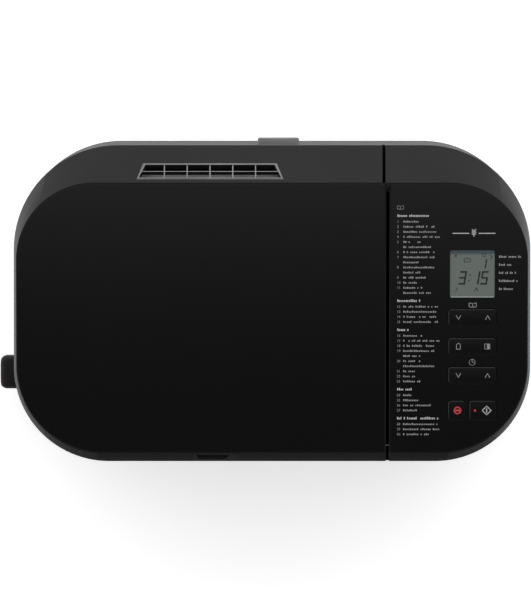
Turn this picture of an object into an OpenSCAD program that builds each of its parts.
// Household bread machine: a moulded case with an oven chamber on the left and
// a control housing on the right, a hinged lid, and a lift-out bread pan.
// Millimetres, +X to the user's right, +Y to the rear, +Z up, table at z = 0.

/* [Case] */
// Width of the case, left to right
case_w = 397; // [331:1:477]
// Depth of the case, front to rear
case_d = 243.4; // [203:0.2:292]
// Height from the table to the top ridge
case_h = 362; // [302:1:434]
// Plan radius of the two rear corners
rear_r = 80; // [67:1:96]
// Plan radius of the two front corners
front_r = 73; // [61:1:87]
// Thickness of the moulded walls
wall = 3; // [2.5:0.1:3.6]
// Height of the rubber feet
foot_h = 8; // [6.5:0.1:9.6]
// Radius of a rubber foot
foot_r = 11; // [9:0.5:13]
// Thickness of the base plate
base_t = 4; // [3.3:0.1:4.8]

/* [Sloping top] */
// Height of the lid and of the control housing at the ridge
crown_h = 62; // [58:1:74]
// Fall of the gloss top from the ridge to its front edge
top_fall = 37; // [31:0.5:38]
// Plan distance from the rear wall to the ridge
ridge_in = 28.5; // [24:0.5:34]
// Fall of the rear facet from the ridge to the rear wall
facet_fall = 22; // [18.5:0.5:26]
// Plan distance from the front wall to the gloss top
lip_in = 5.8; // [4.8:0.1:7]
// Fall of the bevel in front of the gloss top
lip_fall = 5; // [4:0.1:6]
// Plan distance from the side walls to the gloss top
side_in = 2; // [1.7:0.1:2.4]
// Plan radius of the gloss top at its rear corners
gloss_rear_r = 60; // [50:1:72]
// Plan radius of the gloss top at its front corners
gloss_front_r = 68.5; // [57:0.5:82]
// Thickness of the gloss panels
gloss_t = 2; // [1.7:0.1:2.4]
// Width of the matte lip left round the gloss panels
gloss_lip = 0.8; // [0.6:0.1:1]

/* [Lid] */
// Gap between the case and the lid
lid_gap = 1; // [0.8:0.1:1.2]
// Gap beside the control housing behind the ridge
split_rear = 2.2; // [1.8:0.1:2.6]
// Gap beside the control housing in front of the ridge
split_front = 2.5; // [2.1:0.1:3]
// Step of the gap to the right in front of the ridge
split_step = 2.7; // [2.3:0.1:3.2]
// Radius of the hinge barrel
barrel_r = 5; // [4.2:0.1:6]
// Radius of the hinge pins
hinge_pin_r = 2; // [1.7:0.1:2.4]
// Length of one hinge ear
ear_w = 6; // [5:0.5:7]
// Length of one lid knuckle
knuckle_w = 24; // [20:1:29]
// Height of the domed inner plate above the parting line
dome_h = 20; // [18:0.5:21]
// Width of the steam vent along its front edge
vent_w = 112.8; // [94:0.2:135]
// Height of the steam vent along the rear facet
vent_h = 15.8; // [14:0.2:18]
// Openings in each of the two rows of the steam vent
vent_cols = 6; // [5:1:7]
// Length of the finger recess in the front lip
recess_w = 25; // [21:1:30]

/* [Control housing] */
// Width of the control housing in front of the ridge
control_w = 108.5; // [100:0.5:122]
// Distance from the right side to the centre of the keys
key_side = 44.7; // [40:0.1:48]
// Length of the long rocker keys
rocker_l = 36.5; // [31:0.5:44]
// Depth of the long rocker keys
rocker_d = 12.7; // [11:0.1:15]
// Distance between the rows of rocker keys
row_pitch = 22.7; // [19:0.1:27]
// Depth of the stop and start keys
push_d = 15.1; // [13:0.1:18]
// Length of the stop key
stop_l = 12.7; // [11:0.1:14]
// Length of the start key
start_l = 20.2; // [17:0.1:20.6]
// Distance from the front edge of the gloss top to the start key's centre
push_front = 34.1; // [30:0.1:40]
// Distance from the start key's centre to the nearest rocker's centre
push_to_row = 27.5; // [23:0.1:33]
// Width of the display window
lcd_w = 34.5; // [29:0.5:41]
// Depth of the display window
lcd_d = 36.9; // [31:0.1:44]
// Space between the display window and the nearest rocker key
lcd_gap = 9.3; // [8:0.1:11]
// Height that the keys stand proud of the gloss panel
key_proud = 0.4; // [0.3:0.05:0.6]
// Clearance round the keys
key_gap = 0.4; // [0.35:0.01:0.5]
// Travel of the stop and start keys
key_travel = 0.8; // [0.6:0.1:1]
// Tilt of the rocker keys each way, in degrees
rocker_tilt = 2; // [1.6:0.1:2.4]

/* [Oven chamber] */
// Space between the case walls and the chamber
chamber_space = 26; // [22:0.5:31]
// Height of the chamber floor
chamber_z = 79; // [72:1:88]
// Thickness of the chamber sheet
sheet = 1.2; // [1:0.1:1.4]
// Plan radius of the chamber corners
chamber_r = 40; // [34:1:48]
// Gap from the chamber wall to the middle of the heater
heater_in = 12; // [10:0.5:14]
// Radius of the heater tube
heater_r = 3.25; // [2.8:0.05:3.9]
// Height of the heater above the chamber floor
heater_up = 24; // [20:1:28]

/* [Bread pan] */
// Space between the chamber and the pan walls
pan_space = 26; // [24:0.5:31]
// Height of the pan floor above the chamber floor
pan_up = 19; // [18:0.5:23]
// Distance from the parting line down to the pan rim
rim_down = 75; // [68:1:90]
// Thickness of the pan wall
pan_t = 1.8; // [1.5:0.1:2.2]
// Plan radius of the pan corners
pan_r = 24; // [20:1:29]
// Width of the rolled pan rim
rim_w = 4; // [3.4:0.1:4.8]
// Radius of the handle wire
bail_r = 2.25; // [1.9:0.05:2.7]
// Radius of the handle grip
grip_r = 5; // [4.2:0.1:6]
// Space between the pan rim and the folded handle
bail_space = 2.5; // [2:0.1:4]
// Travel of the pan that frees its coupling
pan_lift = 12; // [10:0.5:13]

/* [Drive] */
// Radius of the drive and pan shafts
shaft_r = 4; // [3.4:0.1:4.8]
// Running clearance round the shafts
run_gap = 0.06; // [0.03:0.01:0.09]
// Radius of the large pulley under the belt
pulley_r = 45; // [38:0.5:54]
// Radius of the small pulley under the belt
pinion_r = 9; // [7.5:0.5:10.8]
// Width of the belt
belt_w = 10; // [8.5:0.5:12]
// Thickness of the belt
belt_t = 2.5; // [2:0.1:3]
// Clearance between the belt and the pulleys
belt_gap = 0.35; // [0.3:0.01:0.45]
// Height of the middle of the belt
belt_z = 35; // [32:0.5:38]
// Side of the square motor stack
motor_w = 84; // [70:1:92]
// Height of the motor stack
motor_h = 36; // [30:1:43]
// Height of the kneading blade
blade_h = 42; // [35:1:48]
// Reach of the kneading blade from its shaft
blade_l = 52; // [43:1:58]

/* [Outside fittings] */
// Height of the cord gland's centre
gland_z = 44; // [40:1:50]
// Width of the cord gland
gland_w = 26; // [22:0.5:31]
// Height of the cord gland
gland_h = 30; // [25:1:36]
// Reach of the cord gland out of the case
gland_out = 15; // [12.5:0.5:18]
// Distance from the front wall to the gland's centre
gland_front = 62; // [55:1:68]
// Radius of the gland's bore for the mains cord
cord_r = 4; // [3.4:0.1:4.8]
// Width of the wall spacer at the rear
spacer_w = 32; // [27:1:38]
// Height of the wall spacer
spacer_h = 44; // [37:1:52]
// Reach of the wall spacer behind the case
spacer_out = 5; // [4.2:0.1:6]

/* [Hidden] */
$fn = 64;
eps = 0.01;

// Case planes and lines, about the middle of the case
half_w = case_w / 2;
half_d = case_d / 2;
part_z = case_h - crown_h;
ridge_y = half_d - ridge_in;
lip_y = -half_d + lip_in;
slope = atan(top_fall / (ridge_y - lip_y));
facet = atan(facet_fall / ridge_in);
rear_z = case_h - facet_fall;
front_z = case_h - top_fall - lip_fall;
top_len = (ridge_y - lip_y) / cos(slope);

// The split between the lid and the control housing
control_x = half_w - control_w;
lid_x = control_x - split_front;
lid_rear_x = lid_x - split_step;
control_rear_x = lid_rear_x + split_rear;
lip_under = 3.5;
corner_piece = 4.5;
hairline = 0.3;

// Hinge line
hinge_y = half_d - barrel_r;
hinge_z = part_z + barrel_r + lid_gap;
hinge_left = -half_w + rear_r + 2;
hinge_right = lid_rear_x - 5;
hinge_xs = [hinge_left + 32, hinge_right - 32];
ear_gap = 0.4;
hinge_relief = sqrt(rear_r * barrel_r) + 3;
ear_clear = barrel_r * 1.7;
hinge_pin_l = knuckle_w + 2 * ear_w + 4 * ear_gap;

// Chamber, deck and pan
chamber_x = (-half_w + lid_rear_x) / 2;
chamber_w = lid_rear_x + half_w - wall - 2 * chamber_space;
chamber_d = case_d - 2 * wall - 2 * (chamber_space - wall) - 2;
deck_z = part_z - 2;
deck_t = 3;
flange_w = 8;
pan_w = chamber_w - 2 * pan_space;
pan_d = chamber_d - 2 * pan_space;
pan_z = chamber_z + pan_up;
rim_z = part_z - rim_down;
skirt_r = 33;
pivot_z = rim_z - 9;
ear_out = rim_w + 3;
bail_len = pan_d / 2 + rim_w + bail_space + grip_r;
bail_half = pan_w / 2 + ear_out;

// Shafts and couplings
drive_low = belt_z - belt_w / 2 - 6;
drive_high = chamber_z + 7;
pan_shaft_low = chamber_z + 8;
dog_h = 6;
plate_h = 3.5;
dog_in = 8;
dog_out = 15;
dog_angle = 40;
blade_z = pan_z + 14;
flat_off = shaft_r * 0.7;

// Motor
motor_x = (control_x + half_w - wall) / 2;
motor_z = belt_z + belt_w / 2 + 26;
flange_t = 1.6;
flange_up = 3.5;

// Keys, measured down the slope from the ridge
key_x = half_w - key_side;
push_v = -top_len + push_front;
row_v = [for (i = [0 : 2]) push_v + push_to_row + i * row_pitch];
lcd_v = row_v[2] + rocker_d / 2 + lcd_gap + lcd_d / 2;
push_x0 = key_x - rocker_l / 2;
stop_x = push_x0 + stop_l / 2;
start_x = push_x0 + rocker_l - start_l / 2;
rocker_drop = (rocker_l / 2 + 1) * sin(rocker_tilt) + 0.45;
pivot_low = 5.2;
carrier_low = 8;
board_low = 14;
stub_r = 1.2;

// ---------- placing ----------

// Moves the case-centred model so that the origin is under the middle of its box
module in_frame() {
  translate([gland_out / 2, -spacer_out / 2, 0]) children();
}

// Moves to the middle of the oven chamber
module at_chamber() {
  translate([chamber_x, 0, 0]) children();
}

// A frame on the gloss top: x to the right, y up the slope from the ridge, z out of it
module on_top() {
  translate([0, ridge_y, case_h]) rotate([slope, 0, 0]) children();
}

// A frame on the rear facet: y down the facet from the ridge, z out of it
module on_facet() {
  translate([0, ridge_y, case_h]) rotate([-facet, 0, 0]) children();
}

// ---------- shared shapes ----------

// A rectangle with true arcs at its corners; front and rear corners may differ
module round_plate(w, y0, y1, front, rear) {
  h = w / 2;
  polygon([
    [-h, y0 + front], [-h + front, y0], [h - front, y0], [h, y0 + front],
    [h, y1 - rear], [h - rear, y1], [-h + rear, y1], [-h, y1 - rear]
  ]);
  for (s = [-1, 1]) {
    translate([s * (h - front), y0 + front]) circle(front);
    translate([s * (h - rear), y1 - rear]) circle(rear);
  }
}

module round_block(w, d, h, r) {
  linear_extrude(h) round_plate(w, -d / 2, d / 2, r, r);
}

// Outline of the case, moved in by inset
module case_outline(inset = 0) {
  round_plate(case_w - 2 * inset, -half_d + inset, half_d - inset, front_r - inset,
    rear_r - inset);
}

// Outline of the gloss top, moved in by inset
module gloss_outline(inset = 0) {
  round_plate(case_w - 2 * side_in - 2 * inset, lip_y + inset, ridge_y - inset,
    gloss_front_r - inset, gloss_rear_r - inset);
}

// Everything between two side-view lines, across the whole case
module side_prism(points) {
  rotate([90, 0, 90]) linear_extrude(case_w + 40, center = true) polygon(points);
}

// Below the gloss plane, sunk by sink
module below_gloss(z0, sink) {
  run = case_d;
  rise = run * tan(slope);
  side_prism([
    [ridge_y - run - 60, z0], [ridge_y + 60, z0],
    [ridge_y + 60, case_h - sink + 60 * tan(slope)],
    [ridge_y - run - 60, case_h - sink - rise - 60 * tan(slope)]
  ]);
}

// Below the plane through the upper edges of the front and rear walls, sunk by sink
module below_edges(z0, sink) {
  lean = (rear_z - front_z) / case_d * 20;
  side_prism([
    [-half_d - 20, z0], [half_d + 20, z0],
    [half_d + 20, rear_z - sink + lean], [-half_d - 20, front_z - sink - lean]
  ]);
}

// The whole crown above the parting line: walls, bevel, rear facet and sloping top
module crown(inset, sink, z0) {
  hull() {
    intersection() {
      translate([0, 0, z0]) linear_extrude(case_h) case_outline(inset);
      below_edges(z0, sink);
    }
    intersection() {
      translate([0, 0, z0]) linear_extrude(case_h) gloss_outline(inset * 0.6);
      below_gloss(z0, sink);
    }
  }
}

// Plan of the lid left of the split; the step lets the lid's edge swing past the facet
module lid_zone(gap = 0) {
  far = case_w;
  step_y = ridge_y - 0.5 * crown_h - 12;
  polygon([
    [-far, -far], [lid_x - gap, -far], [lid_x - gap, step_y], [lid_rear_x - gap, step_y],
    [lid_rear_x - gap, far], [-far, far]
  ]);
}

// Plan of the lid's gloss edge, which overhangs the step up to the ridge
module lid_top_zone(gap = 0) {
  far = case_w;
  polygon([
    [-far, -far], [lid_x - gap, -far], [lid_x - gap, ridge_y - gap],
    [lid_rear_x - gap, ridge_y - gap], [lid_rear_x - gap, far], [-far, far]
  ]);
}

// Plan of the control housing right of the split
module control_zone(gap = 0) {
  far = case_w;
  corner_y = ridge_y - corner_piece;
  corner_x = lid_x + hairline;
  polygon([
    [far, -far], [control_x + gap, -far], [control_x + gap, corner_y - gap],
    [corner_x + gap, corner_y - gap], [corner_x + gap, ridge_y - gap],
    [control_rear_x + gap, ridge_y - gap], [control_rear_x + gap, far], [far, far]
  ]);
}

// A slab of the gloss top, from depth deep to depth shallow under its plane
module gloss_slab(inset, deep, shallow) {
  difference() {
    intersection() {
      translate([0, 0, part_z]) linear_extrude(case_h) gloss_outline(inset);
      below_gloss(part_z, shallow);
    }
    below_gloss(part_z - 1, deep);
  }
}

// A straight rod between two points with round ends
module rod(a, b, r) {
  d = b - a;
  l = norm(d);
  translate(a) rotate([0, acos(d[2] / l), atan2(d[1], d[0])]) cylinder(h = l, r = r);
}

// A key cap on the gloss top, with a wider flange under the panel
module key_cap(l, d, drop) {
  low = -gloss_t - wall - drop;
  translate([0, 0, low]) round_block(l, d, key_proud - low, 1.8);
  translate([0, 0, low - 1]) round_block(l + 2, d + 2, 1 + eps, 2);
}

// A hole for a key cap
module key_hole(x, v, l, d, deep) {
  translate([x, v, -deep]) round_block(l + 2 * key_gap, d + 2 * key_gap, deep + 5,
    1.8 + key_gap);
}

module all_key_holes(grow, deep) {
  for (v = row_v) key_hole(key_x, v, rocker_l + grow, rocker_d + grow, deep);
  key_hole(stop_x, push_v, stop_l + grow, push_d + grow, deep);
  key_hole(start_x, push_v, start_l + grow, push_d + grow, deep);
}

// A belt on two pulleys: an arc round each, and the two straight runs that touch both
module belt_loop(r1, r2, span, t, h) {
  a = acos((r1 - r2) / span);
  run = span * sin(a);
  ring_sector(r1, r1 + t, a, 360 - a, h);
  translate([span, 0, 0]) ring_sector(r2, r2 + t, -a, a, h);
  for (m = [0, 1])
    mirror([0, m, 0]) rotate([0, 0, a]) translate([r1, -run, 0]) cube([t, run, h]);
}

module pulley(r, h, bore) {
  difference() {
    union() {
      translate([0, 0, -h / 2]) cylinder(h = h, r = r);
      for (s = [-1, 1])
        translate([0, 0, s * (h / 2 + flange_t / 2) - flange_t / 2])
          cylinder(h = flange_t, r = r + flange_up);
    }
    cylinder(h = 4 * h, r = bore, center = true);
  }
}

// A sector of a ring, from angle a0 to a1
module ring_sector(r0, r1, a0, a1, h) {
  rotate([0, 0, a0]) rotate_extrude(angle = a1 - a0) translate([r0, 0]) square([r1 - r0, h]);
}

// Shaft with a flat on one side above z_flat
module flatted_shaft(r, z0, z1, z_flat) {
  difference() {
    translate([0, 0, z0]) cylinder(h = z1 - z0, r = r);
    translate([flat_off, -r - 1, z_flat]) cube([r, 2 * r + 2, z1 - z_flat + 1]);
  }
}

// ---------- case ----------

foot_xs = [-half_w + front_r - 8, half_w - front_r + 8];
foot_ys = [-half_d + 30, half_d - 32];
screw_r = 2;

module base_plate() {
  color("#1c1c1d") in_frame() {
    difference() {
      translate([0, 0, foot_h]) linear_extrude(base_t) case_outline(wall + 0.2);
      for (x = foot_xs, y = foot_ys)
        translate([x, y, 0]) cylinder(h = 40, r = screw_r + 0.2);
      // Cooling slots under the motor
      for (i = [-3 : 3])
        translate([motor_x - 20, i * 9 - 2, foot_h - 1]) cube([40, 4, base_t + 2]);
      for (i = [-3 : 3])
        translate([chamber_x + 60, i * 9 - 2, foot_h - 1]) cube([24, 4, base_t + 2]);
    }
  }
}

module rubber_feet() {
  color("#202022") in_frame()
    for (x = foot_xs, y = foot_ys)
      translate([x, y, 0]) difference() {
        union() {
          cylinder(h = foot_h, r = foot_r);
          cylinder(h = 1.5, r = foot_r - 1);
        }
        translate([0, 0, 2.5]) cylinder(h = foot_h, r = screw_r + 0.2);
      }
}

module base_screws() {
  color("#9a9b9d") in_frame()
    for (x = foot_xs, y = foot_ys) {
      translate([x, y, 2.6]) cylinder(h = foot_h + base_t, r = screw_r);
      translate([x, y, foot_h + base_t]) cylinder(h = 3, r = screw_r * 1.9);
    }
}

module outer_case() {
  color("#242426") in_frame()
    difference() {
      translate([0, 0, foot_h]) linear_extrude(part_z - foot_h) case_outline();
      translate([0, 0, foot_h - 1]) linear_extrude(part_z) case_outline(wall);
      // Seat of the cord gland
      translate([-half_w - 1, gland_y - gland_w / 2 - 0.2, gland_z - gland_h / 2 - 0.2])
        cube([wall + 20, gland_w + 0.4, gland_h + 0.4]);
      // Two slots for the wall spacer's hooks
      for (s = [-1, 1])
        translate([spacer_x + s * spacer_w / 4 - 3, half_d - 10, spacer_z - 3]) cube([6, 20, 6]);
    }
}

deck_grow = 0.3;

module top_deck() {
  color("#1d1d1e") in_frame()
    difference() {
      translate([0, 0, deck_z - deck_t]) linear_extrude(deck_t) intersection() {
        case_outline(wall + deck_grow);
        translate([-case_w, -case_d]) square([case_w + control_rear_x - 0.5, 2 * case_d]);
      }
      at_chamber() translate([0, 0, deck_z - 20])
        round_block(chamber_w + 2 * sheet + 0.6, chamber_d + 2 * sheet + 0.6, 40,
          chamber_r + sheet + 0.3);
    }
}

module control_housing() {
  color("#2b2b2d") in_frame()
    difference() {
      intersection() {
        difference() {
          crown(0, 0, part_z);
          intersection() {
            crown(wall, gloss_t + wall, part_z - 1);
            linear_extrude(2 * case_h) control_zone(wall);
          }
        }
        linear_extrude(2 * case_h) control_zone();
      }
      // Seat of the gloss fascia
      intersection() {
        gloss_slab(gloss_lip, gloss_t, -5);
        linear_extrude(2 * case_h) control_zone(gloss_lip);
      }
      on_top() {
        all_key_holes(1, 30);
        translate([key_x, lcd_v, -30]) round_block(lcd_w + 1, lcd_d + 1, 40, 2);
        electronics_room();
      }
      // Relief along the split for the swing of the lid's upper edge
      difference() {
        translate([control_rear_x - 1, hinge_y, hinge_z]) rotate([0, 90, 0])
          cylinder(h = lid_x + 2 * hairline - control_rear_x + 1, r = 3 * crown_h);
        translate([control_rear_x - 2, hinge_y, hinge_z]) rotate([0, 90, 0])
          cylinder(h = 10, r = swing_r - 0.6);
      }
    }
}

// Least distance from the hinge line to the lid's overhanging gloss edge
swing_r = norm([hinge_y - ridge_y, case_h - lip_under - hinge_z]);

module control_fascia() {
  color("#0c0c0d") in_frame()
    difference() {
      intersection() {
        gloss_slab(gloss_lip + 0.1, gloss_t, 0);
        linear_extrude(2 * case_h) control_zone(gloss_lip + 0.1);
      }
      on_top() {
        all_key_holes(0, 30);
        translate([key_x, lcd_v, -30]) round_block(lcd_w, lcd_d, 40, 1.5);
      }
    }
}

module key_carrier() {
  low = -gloss_t - wall - carrier_low;
  color("#d8d8d4") in_frame() on_top()
    difference() {
      union() {
        // Two side rails with cradles for the rocker pivots, and cross bars
        for (v = row_v, s = [-1, 1])
          translate([key_x - 5, v + s * (rocker_d / 2 + 3.4) - 1.4, low])
            cube([10, 2.8, carrier_low - 0.6]);
        for (s = [-1, 1])
          translate([key_x + s * (rocker_l / 2 + 4) - 1.5, row_v[0] - rocker_d, low])
            cube([3, row_v[2] - row_v[0] + 2 * rocker_d, 3]);
        for (v = row_v, s = [-1, 1])
          translate([key_x - rocker_l / 2 - 4, v + s * (rocker_d / 2 + 3.4) - 1.4, low])
            cube([rocker_l + 8, 2.8, 2.4]);
      }
      for (v = row_v)
        translate([key_x, v - rocker_d, -gloss_t - pivot_low]) rotate([-90, 0, 0])
          cylinder(h = 2 * rocker_d, r = stub_r + run_gap);
    }
}

spacer_x = 5;
spacer_z = part_z - 18 - spacer_h / 2;

module rear_spacer() {
  color("#252527") in_frame() {
    translate([spacer_x, half_d, spacer_z]) rotate([-90, 0, 0])
      linear_extrude(spacer_out) round_plate(spacer_w, -spacer_h / 2, spacer_h / 2, 4, 4);
    for (s = [-1, 1])
      translate([spacer_x + s * spacer_w / 4 - 2.5, half_d - wall - 2, spacer_z - 2.5])
        cube([5, wall + 2 + eps, 5]);
  }
}

gland_y = -half_d + gland_front;
gland_deep = 10;

module cord_gland() {
  color("#232325") in_frame()
    difference() {
      translate([-half_w + gland_deep, gland_y, gland_z]) rotate([0, -90, 0]) union() {
        linear_extrude(gland_out + gland_deep - 3)
          round_plate(gland_h, -gland_w / 2, gland_w / 2, 4, 4);
        linear_extrude(gland_out + gland_deep)
          round_plate(gland_h - 6, -gland_w / 2 + 3, gland_w / 2 - 3, 4, 4);
      }
      translate([-half_w - gland_out - 1, gland_y, gland_z]) rotate([0, 90, 0])
        cylinder(h = gland_out + gland_deep + 2, r = cord_r);
    }
}

// ---------- oven chamber ----------

leg_y = 15;
heater_half = chamber_w / 2 - heater_in;
heater_deep = chamber_d / 2 - heater_in;
heater_bend = chamber_r - heater_in;
heater_z = chamber_z + heater_up;
leg_bend = 6;

module oven_chamber() {
  color("#b9bbbd") in_frame() at_chamber()
    difference() {
      union() {
        translate([0, 0, chamber_z - sheet])
          round_block(chamber_w + 2 * sheet, chamber_d + 2 * sheet, deck_z - chamber_z + sheet,
            chamber_r + sheet);
        translate([0, 0, deck_z])
          round_block(chamber_w + 2 * flange_w, chamber_d + 2 * flange_w, sheet,
            chamber_r + flange_w);
      }
      translate([0, 0, chamber_z]) round_block(chamber_w, chamber_d, case_h, chamber_r);
      translate([0, 0, chamber_z - 5]) cylinder(h = 10, r = shaft_r + 5);
      for (s = [-1, 1])
        translate([chamber_w / 2 - 5, s * leg_y, heater_z]) rotate([0, 90, 0])
          cylinder(h = 20, r = heater_r + 2.6);
      translate([chamber_w / 2 - 5, 40, chamber_z + 60]) rotate([0, 90, 0])
        cylinder(h = 20, r = 3.2);
    }
}

module chamber_brackets() {
  color("#a7a9ab") in_frame() at_chamber()
    for (sx = [-1, 1], sy = [-1, 1])
      translate([sx * (chamber_w / 2 - 30), sy * (chamber_d / 2 - 26), 0]) {
        translate([-8, -8, foot_h + base_t]) cube([16, 16, 2]);
        translate([-8, -1, foot_h + base_t]) cube([16, 2, chamber_z - sheet - foot_h - base_t]);
        translate([-8, -8, chamber_z - sheet - 2]) cube([16, 16, 2]);
      }
}

shield_gap = 8;

module heat_shield() {
  z0 = chamber_z + 3;
  z1 = deck_z - deck_t - 4;
  color("#c7c9cb") in_frame() at_chamber()
    difference() {
      translate([0, 0, z0])
        round_block(chamber_w + 2 * (shield_gap + 0.8), chamber_d + 2 * (shield_gap + 0.8),
          z1 - z0, chamber_r + shield_gap + 0.8);
      translate([0, 0, z0 - 1])
        round_block(chamber_w + 2 * shield_gap, chamber_d + 2 * shield_gap, case_h,
          chamber_r + shield_gap);
      for (s = [-1, 1])
        translate([chamber_w / 2, s * leg_y, heater_z]) rotate([0, 90, 0])
          cylinder(h = 20, r = heater_r + 3.4);
      translate([chamber_w / 2, 40, chamber_z + 60]) rotate([0, 90, 0])
        cylinder(h = 20, r = 4);
    }
}

// A quarter bend of the heater tube about a corner centre, from angle a
module heater_corner(x, y, a, bend) {
  translate([x, y, heater_z]) rotate([0, 0, a]) rotate_extrude(angle = 90)
    translate([bend, 0]) circle(heater_r);
}

module heater_element() {
  hx = heater_half;
  hy = heater_deep;
  b = heater_bend;
  color("#55575a") in_frame() at_chamber() {
    heater_corner(hx - b, hy - b, 0, b);
    heater_corner(-hx + b, hy - b, 90, b);
    heater_corner(-hx + b, -hy + b, 180, b);
    heater_corner(hx - b, -hy + b, 270, b);
    for (s = [-1, 1])
      rod([-hx + b, s * hy, heater_z], [hx - b, s * hy, heater_z], heater_r);
    rod([-hx, -hy + b, heater_z], [-hx, hy - b, heater_z], heater_r);
    rod([hx, leg_y + leg_bend, heater_z], [hx, hy - b, heater_z], heater_r);
    rod([hx, -hy + b, heater_z], [hx, -leg_y - leg_bend, heater_z], heater_r);
    heater_corner(hx + leg_bend, leg_y + leg_bend, 180, leg_bend);
    heater_corner(hx + leg_bend, -leg_y - leg_bend, 90, leg_bend);
    for (s = [-1, 1])
      rod([hx + leg_bend, s * leg_y, heater_z],
        [chamber_w / 2 + shield_gap + 10, s * leg_y, heater_z], heater_r);
  }
}

module heater_insulators() {
  color("#e9e4d8") in_frame() at_chamber()
    for (s = [-1, 1])
      translate([chamber_w / 2 - 2, s * leg_y, heater_z]) rotate([0, 90, 0])
        difference() {
          union() {
            cylinder(h = shield_gap + 8, r = heater_r + 2.4);
            cylinder(h = 2 - 0.2, r = heater_r + 4);
          }
          translate([0, 0, -1]) cylinder(h = 30, r = heater_r + 0.1);
        }
}

module temperature_sensor() {
  color("#d3d4d6") in_frame() at_chamber()
    translate([chamber_w / 2 - 12, 40, chamber_z + 60]) rotate([0, 90, 0]) {
      cylinder(h = 30, r = 3);
      translate([0, 0, 12 + shield_gap + 4]) cylinder(h = 4, r = 6);
    }
}

clip_w = 12;

module pan_clips() {
  gap = 0.5;
  color("#cfd1d3") in_frame() at_chamber()
    for (s = [-1, 1])
      rotate([0, 0, 90 + s * 90]) {
        translate([skirt_r + gap, -clip_w / 2, chamber_z]) cube([1, clip_w, 13]);
        translate([skirt_r + gap, -clip_w / 2, chamber_z]) cube([14, clip_w, 1]);
      }
}

// ---------- drive ----------

housing_z = belt_z + belt_w / 2 + 12;
bush_r = shaft_r + 3.5;

module drive_housing() {
  top = chamber_z - sheet;
  color("#9fa1a4") in_frame() at_chamber()
    difference() {
      union() {
        translate([0, 0, top - 4]) round_block(96, 44, 4, 8);
        translate([0, 0, housing_z]) cylinder(h = top - housing_z, r = bush_r + 4);
        for (a = [0 : 90 : 270])
          rotate([0, 0, a + 45]) translate([bush_r, -1.5, top - 16]) cube([12, 3, 13]);
      }
      translate([0, 0, housing_z - 1]) cylinder(h = top, r = bush_r);
    }
}

module shaft_bushes() {
  bush_l = 9;
  color("#b08a4a") in_frame() at_chamber()
    for (z = [housing_z, chamber_z - sheet - bush_l])
      translate([0, 0, z]) difference() {
        cylinder(h = bush_l, r = bush_r);
        translate([0, 0, -1]) cylinder(h = bush_l + 2, r = shaft_r + run_gap);
      }
}

module drive_belt() {
  r1 = pulley_r + belt_gap;
  r2 = pinion_r + belt_gap;
  span = motor_x - chamber_x;
  color("#1a1a1a") in_frame() at_chamber()
    translate([0, 0, belt_z - belt_w / 2]) belt_loop(r1, r2, span, belt_t, belt_w);
}

module drive_shaft() {
  color("#c9cbcd") in_frame() at_chamber() {
    translate([0, 0, drive_low]) cylinder(h = drive_high - drive_low, r = shaft_r);
    // Retaining ring under the lower bush
    translate([0, 0, housing_z - 2]) cylinder(h = 1.2, r = shaft_r + 2.5);
  }
}

// Dogs of one half of the coupling
module dogs(z, turn) {
  for (a = [0, 180])
    translate([0, 0, z])
      ring_sector(dog_in, dog_out, a + turn - dog_angle / 2, a + turn + dog_angle / 2, dog_h);
}

module drive_coupling() {
  z = chamber_z + 2;
  color("#8d8f92") in_frame() at_chamber()
    difference() {
      union() {
        translate([0, 0, z]) cylinder(h = plate_h, r = dog_out + 1);
        dogs(z + plate_h - eps, 0);
      }
      translate([0, 0, z - 1]) cylinder(h = plate_h + 2, r = shaft_r);
    }
}

module large_pulley() {
  color("#303236") in_frame() at_chamber()
    translate([0, 0, belt_z])
      difference() {
        pulley(pulley_r, belt_w + 1, shaft_r);
        // Webs left between six lightening holes
        for (a = [0 : 60 : 300])
          rotate([0, 0, a]) translate([pulley_r * 0.58, 0, -belt_w])
            cylinder(h = 2 * belt_w, r = pulley_r * 0.19);
      }
}

module at_motor() {
  translate([motor_x, 0, 0]) children();
}

motor_off = motor_w / 2 - 7;

module motor_bracket() {
  z = motor_z - 13;
  color("#a3a5a8") in_frame() at_motor()
    difference() {
      union() {
        translate([0, 0, z]) round_block(motor_w + 8, motor_w + 8, 2, 8);
        for (sx = [-1, 1], sy = [-1, 1])
          translate([sx * motor_off, sy * motor_off, foot_h + base_t])
            cylinder(h = z - foot_h - base_t + eps, r = 5);
      }
      translate([0, 0, z - 1]) cylinder(h = 10, r = 20);
      for (sx = [-1, 1], sy = [-1, 1])
        translate([sx * motor_off, sy * motor_off, z - 10]) cylinder(h = 20, r = 2);
    }
}

rotor_r = motor_w * 0.25;

module motor_stator() {
  color("#7d5a3a") in_frame() at_motor()
    difference() {
      union() {
        translate([0, 0, motor_z]) round_block(motor_w, motor_w, motor_h, 6);
        translate([0, 0, motor_z - 7]) cylinder(h = motor_h + 14, r = rotor_r + 11);
      }
      translate([0, 0, motor_z - 10]) cylinder(h = motor_h + 20, r = rotor_r + 0.5);
    }
}

end_r = rotor_r + 20;

module motor_end_frames() {
  color("#b6b8ba") in_frame() at_motor()
    for (m = [0, 1])
      translate([0, 0, motor_z + motor_h / 2]) mirror([0, 0, m])
        difference() {
          union() {
            translate([0, 0, motor_h / 2 + 8]) cylinder(h = 3, r = end_r);
            translate([0, 0, motor_h / 2 + 8]) cylinder(h = 7, r = shaft_r + 6);
            for (sx = [-1, 1], sy = [-1, 1])
              translate([sx * end_r * 0.64, sy * end_r * 0.64, motor_h / 2 + eps])
                cylinder(h = 9, r = 3);
          }
          cylinder(h = motor_h, r = shaft_r + run_gap);
        }
}

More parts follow.
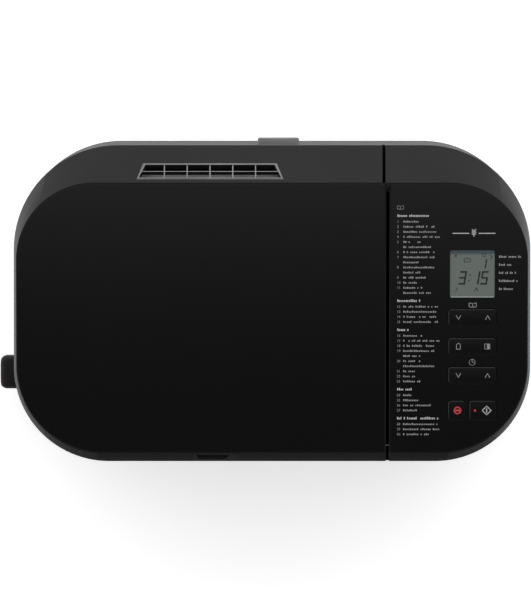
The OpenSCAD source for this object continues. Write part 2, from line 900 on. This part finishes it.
module motor_rotor() {
  color("#86888b") in_frame() at_motor() {
    translate([0, 0, drive_low])
      cylinder(h = motor_z + motor_h + 18 - drive_low, r = shaft_r);
    translate([0, 0, motor_z]) cylinder(h = motor_h, r = rotor_r);
    for (z = [motor_z - 5, motor_z + motor_h])
      translate([0, 0, z]) cylinder(h = 5, r = rotor_r - 3);
  }
}

module small_pulley() {
  color("#303236") in_frame() at_motor()
    translate([0, 0, belt_z]) pulley(pinion_r, belt_w + 1, shaft_r);
}

// ---------- electrics ----------

module run_capacitor() {
  z = motor_z + motor_h + 22;
  color("#3f6f95") in_frame()
    translate([motor_x - 24, -46, z]) {
      cylinder(h = 56, r = 16);
      for (s = [-1, 1])
        translate([s * 5 - 0.4, -3, 56]) cube([0.8, 6, 9]);
    }
}

board_y = half_d - 46;
board_z = foot_h + base_t + 40;
// Space between the motor stack and the middle of the harness
harness_gap = 13.7;

module power_board() {
  color("#3d6b46") in_frame()
    translate([motor_x - 36, board_y, board_z]) {
      cube([62, 1.6, 90]);
      // Capacitor, relay and heat sink on the board
      translate([12, 0, 66]) rotate([90, 0, 0]) cylinder(h = 16, r = 8);
      translate([26, -14, 56]) cube([20, 14 + eps, 24]);
      translate([6, -9, 18]) cube([46, 9 + eps, 3]);
      translate([6, -9, 12]) cube([46, 9 + eps, 3]);
    }
}

module transformer() {
  color("#8b6b3e") in_frame()
    translate([motor_x - 28, board_y + 1.6 + eps, board_z + 36]) {
      cube([40, 16, 34]);
      translate([5, 0, -4]) cube([30, 14, 42]);
    }
}

module wiring_harness() {
  r = 3;
  x = motor_x + 36;
  y = motor_w / 2 + harness_gap;
  p = [
    [x, y, board_z + 30], [x, y, board_z + 130],
    [x - 8, 20, part_z - 20], [x - 20, 0, part_z - 6]
  ];
  color("#e0e0dc") in_frame() {
    for (i = [0 : 2]) rod(p[i], p[i + 1], r);
    // Ties at the bends
    for (q = p) translate(q) sphere(r + 1);
  }
}

board_v0 = push_v - 12;
board_v1 = lcd_v + lcd_d / 2 + 6;
board_w = 48;

// Room inside the control housing for the display module and the control board
module electronics_room() {
  low = -gloss_t - wall - board_low;
  gap = 0.5;
  translate([key_x, lcd_v, low]) round_block(lcd_w + 6 + gap, lcd_d + 6 + gap, board_low, 1);
  translate([key_x - (board_w + gap) / 2, board_v0 - gap, low - 1.6 - gap])
    cube([board_w + gap, board_v1 - board_v0 + 2 * gap, 1.6 + 2 * gap]);
}

module control_board() {
  color("#2f6a3f") in_frame() on_top()
    translate([key_x - board_w / 2, board_v0, -gloss_t - wall - board_low - 1.6])
      cube([board_w, board_v1 - board_v0, 1.6]);
}

module lcd_module() {
  low = -gloss_t - wall - board_low + 0.05;
  color("#7f877d") in_frame() on_top()
    translate([key_x, lcd_v, low])
      difference() {
        round_block(lcd_w + 6, lcd_d + 6, -gloss_t - 0.3 - low - wall, 1);
        translate([0, 0, -gloss_t - wall - 1.3 - low])
          round_block(lcd_w - 2, lcd_d - 2, 5, 1);
      }
}

module lcd_window() {
  color("#8a938a") in_frame() on_top()
    translate([key_x, lcd_v, -gloss_t]) round_block(lcd_w - 0.2, lcd_d - 0.2, gloss_t, 1.4);
}

// One switch on the control board, with its stem under a key
module tact_switch(x, v, reach) {
  low = -gloss_t - wall - board_low;
  translate([x - 3, v - 3, low + 0.05]) cube([6, 6, 3.5]);
  translate([x, v, low]) cylinder(h = reach - low, r = 1.6);
}

module tact_switches() {
  rocker_reach = -gloss_t - wall - rocker_drop - 1 - rocker_l / 2 * sin(rocker_tilt) - 0.3;
  push_reach = -gloss_t - wall - 0.3 - 1 - key_travel - 0.3;
  color("#c8c8c4") in_frame() on_top() {
    for (v = row_v, s = [-1, 1])
      tact_switch(key_x + s * (rocker_l / 2 - 5), v, rocker_reach);
    tact_switch(stop_x, push_v, push_reach);
    tact_switch(start_x, push_v, push_reach);
  }
}

// ---------- hinge ----------

// Middles of the four hinge ears
ear_xs = [
  for (x = hinge_xs, s = [-1, 1]) x + s * (knuckle_w / 2 + ear_gap + ear_w / 2)
];

module hinge_brackets() {
  foot_y = half_d - wall - 0.3;
  color("#2a2a2c") in_frame()
    difference() {
      union() {
        for (x = ear_xs) {
          translate([x - ear_w / 2, hinge_y, hinge_z]) rotate([0, 90, 0])
            cylinder(h = ear_w, r = barrel_r - 0.1);
          translate([x - ear_w / 2, hinge_y - barrel_r + 0.5, deck_z])
            cube([ear_w, foot_y - hinge_y + barrel_r - 0.5, hinge_z - deck_z]);
        }
        for (x = hinge_xs)
          translate([x - knuckle_w / 2 - ear_w, hinge_y - barrel_r - 3, deck_z])
            cube([knuckle_w + 2 * ear_w, foot_y - hinge_y + barrel_r + 3, 1.6]);
      }
      for (x = hinge_xs)
        translate([x - knuckle_w - ear_w, hinge_y, hinge_z]) rotate([0, 90, 0])
          cylinder(h = 2 * knuckle_w + 2 * ear_w, r = hinge_pin_r);
    }
}

module hinge_pins() {
  color("#c3c5c7") in_frame()
    for (x = hinge_xs)
      translate([x - hinge_pin_l / 2, hinge_y, hinge_z]) rotate([0, 90, 0])
        cylinder(h = hinge_pin_l, r = hinge_pin_r);
}

// ---------- lid ----------

vent_x0 = hinge_left + 12.5;
vent_mid = vent_x0 + vent_w / 2;
vent_in = 2.8;
vent_taper = 5;
recess_x = -45.8;

// Outline of the steam vent on the rear facet, wider at the ridge
module vent_outline(grow) {
  a = vent_w / 2 + grow;
  b = vent_w / 2 - vent_taper + grow;
  polygon([
    [-a, -vent_in + grow], [-b, -vent_in - vent_h - grow], [b, -vent_in - vent_h - grow],
    [a, -vent_in + grow]
  ]);
}

// Frame on the facet with y pointing up to the ridge
module on_vent() {
  on_facet() translate([vent_mid, 0, 0]) mirror([0, 1, 0]) children();
}

module lid_solid() {
  intersection() {
    crown(0, 0, part_z + lid_gap);
    linear_extrude(2 * case_h) lid_zone();
  }
  intersection() {
    gloss_slab(0.3, lip_under, 0.05);
    linear_extrude(2 * case_h) lid_top_zone();
  }
}

module lid_shell() {
  color("#2b2b2d") in_frame()
    difference() {
      lid_solid();
      intersection() {
        crown(wall, gloss_t + wall, part_z - 1);
        linear_extrude(2 * case_h) lid_zone(wall);
      }
      // Seat of the gloss panel
      intersection() {
        gloss_slab(gloss_lip, gloss_t, -5);
        linear_extrude(2 * case_h) lid_top_zone(gloss_lip);
      }
      // Room for the hinge barrel
      translate([hinge_left - 0.5, hinge_y, hinge_z]) rotate([0, 90, 0])
        cylinder(h = case_w, r = barrel_r + 0.15);
      translate([hinge_left - hinge_relief, hinge_y - barrel_r - 0.15, part_z - 1])
        cube([case_w, 40, hinge_z - part_z + 1]);
      for (x = ear_xs)
        translate([x - ear_w / 2 - ear_gap, hinge_y, hinge_z]) rotate([0, 90, 0])
          cylinder(h = ear_w + 2 * ear_gap, r = ear_clear);
      on_vent() translate([0, 0, -12]) linear_extrude(20)
        vent_outline(0.2);
      // Finger recess in the front lip
      translate([recess_x, lip_y - 0.7, case_h - top_fall - 6]) linear_extrude(20)
        polygon([
          [-recess_w / 2, 0], [recess_w / 2, 0], [recess_w / 2 - 2, -3.1],
          [-recess_w / 2 + 2, -3.1]
        ]);
    }
}

module lid_top_panel() {
  color("#0b0b0c") in_frame()
    intersection() {
      gloss_slab(gloss_lip + 0.1, gloss_t, 0);
      linear_extrude(2 * case_h) lid_top_zone(gloss_lip + 0.1);
    }
}

dome_in = 3;
plate_lip = 7;
frame_t = 3;

module lid_frame() {
  z = part_z + lid_gap;
  color("#1b1b1c") in_frame()
    difference() {
      union() {
        translate([0, 0, z]) linear_extrude(frame_t) intersection() {
          case_outline(wall + 0.2);
          lid_zone(wall + 0.2);
        }
        translate([hinge_left, hinge_y, hinge_z]) rotate([0, 90, 0])
          cylinder(h = hinge_right - hinge_left, r = barrel_r);
        translate([hinge_left, hinge_y - barrel_r - 2, z])
          cube([hinge_right - hinge_left, barrel_r + 2, frame_t + 2]);
      }
      at_chamber() translate([0, 0, z - 5])
        round_block(chamber_w - 2 * dome_in, chamber_d - 2 * dome_in, 30, chamber_r - dome_in);
      for (x = ear_xs)
        translate([x - ear_w / 2 - ear_gap, hinge_y, hinge_z]) rotate([0, 90, 0])
          cylinder(h = ear_w + 2 * ear_gap, r = ear_clear);
      for (x = hinge_xs)
        translate([x - knuckle_w, hinge_y, hinge_z]) rotate([0, 90, 0])
          cylinder(h = 2 * knuckle_w, r = hinge_pin_r + run_gap);
    }
}

module steam_vent_grille() {
  pitch = vent_w / vent_cols * 0.93;
  bar = 1.6;
  row_h = (vent_h - 5.2) / 2;
  color("#1f1f20") in_frame() on_vent()
    difference() {
      union() {
        translate([0, 0, -wall - 2]) linear_extrude(wall + 2) vent_outline(0);
        difference() {
          linear_extrude(0.8) vent_outline(0);
          translate([0, 0, -1]) linear_extrude(5) vent_outline(-1.4);
        }
      }
      for (i = [0 : vent_cols - 1], j = [0, 1])
        translate([(i - vent_cols / 2) * pitch + bar / 2,
          -vent_in - 2 - row_h - j * (row_h + bar), -20])
          cube([pitch - bar, row_h, 40]);
    }
}

module lid_inner_plate() {
  z = part_z + lid_gap + frame_t;
  w = chamber_w - 2 * dome_in;
  d = chamber_d - 2 * dome_in;
  r = chamber_r - dome_in;
  color("#c4c6c8") in_frame() at_chamber()
    difference() {
      union() {
        translate([0, 0, z]) round_block(w + 2 * plate_lip, d + 2 * plate_lip, 0.8, r + plate_lip);
        translate([0, 0, z]) round_block(w, d, part_z + dome_h - z, r);
      }
      translate([0, 0, z - 1]) round_block(w - 1.6, d - 1.6, part_z + dome_h - z + 0.2, r - 0.8);
      // Steam slots under the vent
      for (i = [-3 : 3])
        translate([i * 14 - 4, d / 2 - 22, part_z]) cube([8, 3, 2 * dome_h]);
    }
}

module lid_seal() {
  z0 = deck_z + sheet + 0.4;
  color("#77787a") in_frame() at_chamber()
    difference() {
      translate([0, 0, z0])
        round_block(chamber_w + 9, chamber_d + 9, part_z + lid_gap - z0, chamber_r + 4.5);
      translate([0, 0, z0 - 1])
        round_block(chamber_w + 3, chamber_d + 3, 20, chamber_r + 1.5);
    }
}

module lid_screws() {
  z = part_z + lid_gap + frame_t + 0.8;
  color("#a6a8aa") in_frame() at_chamber()
    for (sx = [-1, 1], sy = [-1, 1])
      translate([sx * (chamber_w / 2 - dome_in + plate_lip / 2), sy * (chamber_d / 2 - 46), z])
        cylinder(h = 2, r = 2.8);
}

// ---------- bread pan ----------

module pan_body(grow, z0, z1) {
  translate([0, 0, z0])
    round_block(pan_w + 2 * grow, pan_d + 2 * grow, z1 - z0, pan_r + grow);
}

module bread_pan() {
  color("#5a5b5d") in_frame() at_chamber()
    difference() {
      union() {
        pan_body(0, pan_z, rim_z);
        pan_body(rim_w, rim_z - 2, rim_z);
      }
      pan_body(-pan_t, pan_z + pan_t, case_h);
      translate([0, 0, pan_z - 1]) cylinder(h = 10, r = bushing_r);
    }
}

bushing_r = shaft_r + 5;

module pan_base() {
  color("#8f9194") in_frame() at_chamber()
    difference() {
      translate([0, 0, chamber_z + 2]) cylinder(h = pan_up - 2, r = skirt_r);
      translate([0, 0, chamber_z]) cylinder(h = pan_up - 2, r = skirt_r - 2.5);
      translate([0, 0, chamber_z]) cylinder(h = 2 * pan_up, r = bushing_r);
    }
}

module pan_bushing() {
  z0 = chamber_z + 16.2;
  color("#b08a4a") in_frame() at_chamber()
    difference() {
      translate([0, 0, z0]) cylinder(h = pan_z + 9 - z0, r = bushing_r);
      translate([0, 0, z0 - 1]) cylinder(h = 60, r = shaft_r + run_gap);
    }
}

module pan_seal() {
  color("#3a3a3b") in_frame() at_chamber()
    difference() {
      translate([0, 0, pan_z + 9]) cylinder(h = 3.5, r = bushing_r - 1);
      translate([0, 0, pan_z]) cylinder(h = 40, r = shaft_r + run_gap);
    }
}

module pan_handle_ears() {
  color("#a9abad") in_frame() at_chamber()
    for (s = [-1, 1])
      difference() {
        union() {
          translate([s * (pan_w / 2 + 1.25) - 1.25, -11, pivot_z - 12]) cube([2.5, 22, 14]);
          translate([s * (pan_w / 2 + ear_out / 2 + 0.6), 0, pivot_z]) rotate([0, 90, 0])
            cylinder(h = ear_out - 1.2, r = 6, center = true);
        }
        translate([s * pan_w / 2, 0, pivot_z]) rotate([0, s * 90, 0])
          cylinder(h = 30, r = bail_r + run_gap);
      }
}

module pan_handle() {
  bend = 9;
  x = bail_half + bail_r + 0.6;
  color("#c2c4c6") in_frame() at_chamber()
    translate([0, 0, pivot_z]) {
      for (s = [-1, 1]) {
        rod([s * (pan_w / 2 + 0.8), 0, 0], [s * x, 0, 0], bail_r);
        translate([s * x, 0, 0]) sphere(bail_r);
        rod([s * x, 0, 0], [s * x, -bail_len + bend, 0], bail_r);
        translate([s * (x - bend), -bail_len + bend, 0]) rotate([0, 0, s > 0 ? -90 : 180])
          rotate_extrude(angle = 90) translate([bend, 0]) circle(bail_r);
      }
      rod([-x + bend, -bail_len, 0], [x - bend, -bail_len, 0], bail_r);
    }
}

module handle_grip() {
  l = pan_w * 0.5;
  color("#1e1e1f") in_frame() at_chamber()
    translate([-l / 2, -bail_len, pivot_z]) rotate([0, 90, 0])
      difference() {
        cylinder(h = l, r = grip_r);
        translate([0, 0, -1]) cylinder(h = l + 2, r = bail_r);
      }
}

module pan_shaft() {
  color("#c9cbcd") in_frame() at_chamber()
    flatted_shaft(shaft_r, pan_shaft_low, blade_z + 16, blade_z - 1);
}

module driven_coupling() {
  top = chamber_z + 2 + 2 * plate_h + dog_h + 1;
  color("#8d8f92") in_frame() at_chamber()
    difference() {
      union() {
        translate([0, 0, top - plate_h]) cylinder(h = plate_h - 0.3, r = dog_out + 1);
        dogs(top - plate_h - dog_h + eps, 90);
      }
      translate([0, 0, pan_shaft_low - 5]) cylinder(h = 40, r = shaft_r);
    }
}

module kneading_blade() {
  hub_r = shaft_r + 3.5;
  color("#4b4c4e") in_frame() at_chamber()
    difference() {
      union() {
        translate([0, 0, blade_z]) cylinder(h = 20, r = hub_r);
        // Fin, low at its tip and high at the hub
        translate([0, 1.5, blade_z]) rotate([90, 0, 0]) linear_extrude(3)
          polygon([
            [0, 0], [blade_l, 0], [blade_l, blade_h * 0.35], [blade_l * 0.8, blade_h * 0.72],
            [blade_l * 0.35, blade_h], [0, blade_h]
          ]);
      }
      translate([0, 0, blade_z - 1]) intersection() {
        cylinder(h = 18, r = shaft_r + run_gap);
        translate([-20, -20, 0]) cube([20 + flat_off + 0.1, 40, 30]);
      }
    }
}

// ---------- keys ----------

module rocker(v) {
  in_frame() on_top() translate([key_x, v, 0]) {
    key_cap(rocker_l, rocker_d, rocker_drop);
    // Pivot stubs, on the tilting line
    for (s = [-1, 1])
      translate([0, s * (rocker_d / 2 + 0.9), -gloss_t - pivot_low]) rotate([-s * 90, 0, 0])
        cylinder(h = 3.4, r = stub_r);
    translate([-2, -rocker_d / 2 - 1, -gloss_t - pivot_low - 1.2]) cube([4, rocker_d + 2, 2.4]);
  }
}

module menu_rocker() {
  color("#151516") rocker(row_v[2]);
}

module option_rocker() {
  color("#151516") rocker(row_v[1]);
}

module timer_rocker() {
  color("#151516") rocker(row_v[0]);
}

module stop_key() {
  color("#151516") in_frame() on_top() translate([stop_x, push_v, 0])
    key_cap(stop_l, push_d, 0.3);
}

module start_key() {
  color("#151516") in_frame() on_top() translate([start_x, push_v, 0])
    key_cap(start_l, push_d, 0.3);
}

base_plate();
rubber_feet();
base_screws();
outer_case();
top_deck();
control_housing();
control_fascia();
key_carrier();
rear_spacer();
cord_gland();
oven_chamber();
chamber_brackets();
heat_shield();
heater_element();
heater_insulators();
temperature_sensor();
pan_clips();
drive_housing();
shaft_bushes();
drive_belt();
motor_bracket();
motor_stator();
motor_end_frames();
run_capacitor();
power_board();
transformer();
wiring_harness();
control_board();
lcd_module();
lcd_window();
tact_switches();
hinge_brackets();
hinge_pins();
lid_shell();
lid_top_panel();
lid_frame();
steam_vent_grille();
lid_inner_plate();
lid_seal();
lid_screws();
bread_pan();
pan_base();
pan_bushing();
pan_seal();
pan_handle_ears();
pan_handle();
handle_grip();
pan_shaft();
driven_coupling();
kneading_blade();
drive_shaft();
drive_coupling();
large_pulley();
motor_rotor();
small_pulley();
menu_rocker();
option_rocker();
timer_rocker();
stop_key();
start_key();
